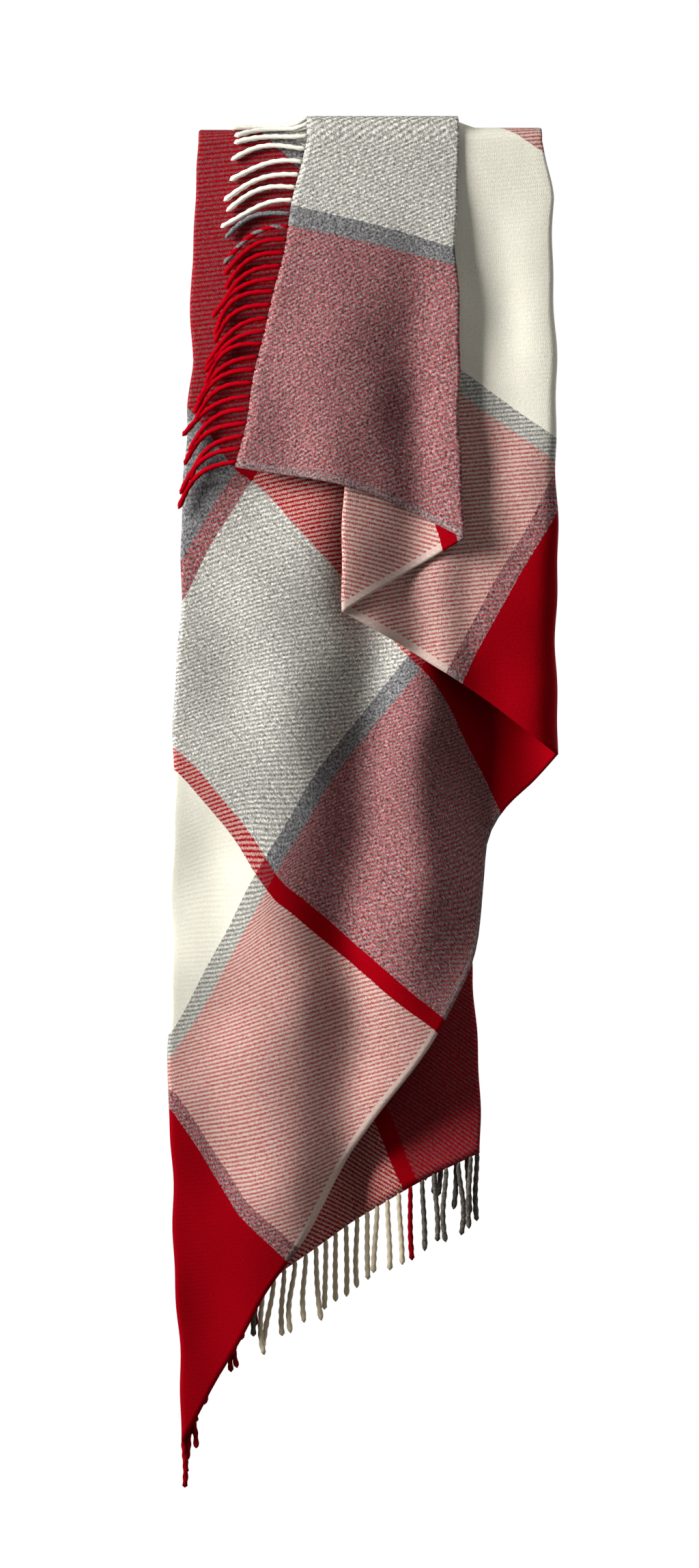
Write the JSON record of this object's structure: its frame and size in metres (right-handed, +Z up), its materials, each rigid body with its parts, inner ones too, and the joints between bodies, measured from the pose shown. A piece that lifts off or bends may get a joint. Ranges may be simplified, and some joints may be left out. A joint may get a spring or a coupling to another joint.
{
  "type": "hung throw blanket",
  "caption": "Fringed woven wool throw in a broad red, cream and grey check, gathered into pleats and hung over a rail, with its fringed end folded forward as a flap",
  "frame": {"origin": "On the axis of the rail that carries the throw, near the middle of the gathered top", "axes": "+X to the right as seen from the front, +Z up, -Y towards the viewer"},
  "size_m": [0.4871, 0.1322, 1.706],
  "materials": {
    "red_wool": "brushed wool, matt",
    "red_and_grey_twill": "brushed wool, matt",
    "grey_wool": "brushed wool, matt",
    "cream_wool": "brushed wool, matt",
    "red_and_cream_twill": "brushed wool, matt",
    "grey_yarn": "brushed wool, matt",
    "cream_yarn": "brushed wool, matt"
  },
  "bodies": {
    "cloth": {"back_panel": "red_and_cream_twill", "flap_panel": "grey_wool", "flap_pleat": "cream_wool", "front_panel": "red_and_grey_twill", "inner_corner_fringe": "red_wool", "inner_corner_panel": "red_wool", "inner_hem_fringe": "grey_yarn", "inner_panel": "red_wool", "rear_back_panel": "red_wool", "rear_edge_panel": "cream_wool", "rear_fringe": "cream_yarn", "rear_main_panel": "red_and_grey_twill", "right_panel": "red_wool", "tassel_bunch_left": "red_and_grey_twill", "tassel_bunch_middle": "cream_yarn", "tassel_bunch_tip": "red_wool", "top_fold_inner": "red_and_grey_twill", "top_fold_outer": "grey_wool"},
    "flap_fringe": {"flap_tassel_01": "red_wool", "flap_tassel_02": "red_wool", "flap_tassel_03": "red_wool", "flap_tassel_04": "red_wool", "flap_tassel_05": "red_wool", "flap_tassel_06": "red_wool", "flap_tassel_07": "red_wool", "flap_tassel_08": "red_wool", "flap_tassel_09": "red_wool", "flap_tassel_10": "red_wool", "flap_tassel_11": "red_wool", "flap_tassel_12": "red_wool", "flap_tassel_13": "red_wool", "flap_tassel_14": "red_wool", "flap_tassel_15": "red_wool", "flap_tassel_16": "red_wool", "flap_tassel_17": "red_wool", "flap_tassel_18": "grey_yarn", "flap_tassel_19": "cream_yarn", "flap_tassel_20": "cream_yarn", "flap_tassel_21": "cream_yarn", "flap_tassel_22": "cream_yarn", "flap_tassel_23": "cream_yarn", "flap_tassel_24": "cream_yarn"},
    "lower_fringe": {"lower_tassel_01": "cream_yarn", "lower_tassel_02": "cream_yarn", "lower_tassel_03": "cream_yarn", "lower_tassel_04": "cream_yarn", "lower_tassel_05": "cream_yarn", "lower_tassel_06": "cream_yarn", "lower_tassel_07": "cream_yarn", "lower_tassel_08": "cream_yarn", "lower_tassel_09": "cream_yarn", "lower_tassel_10": "cream_yarn", "lower_tassel_11": "cream_yarn", "lower_tassel_12": "red_wool", "lower_tassel_13": "grey_yarn", "lower_tassel_14": "grey_yarn", "lower_tassel_15": "grey_yarn", "lower_tassel_16": "grey_yarn", "lower_tassel_17": "grey_yarn", "lower_tassel_18": "grey_yarn"}
  },
  "joints": [
    {"name": "flap_fringe_swing", "type": "hinge", "parent": "cloth", "child": "flap_fringe", "pos_m": [-0.1255, -0.053, -0.2045], "axis": [0.2118, 0.0876, 0.9734], "range_deg": [0, 25]},
    {"name": "lower_fringe_swing", "type": "hinge", "parent": "cloth", "child": "lower_fringe", "pos_m": [0.0155, -0.0279, -1.3345], "axis": [-0.8597, 0, -0.5108], "range_deg": [0, 20]}
  ]
}
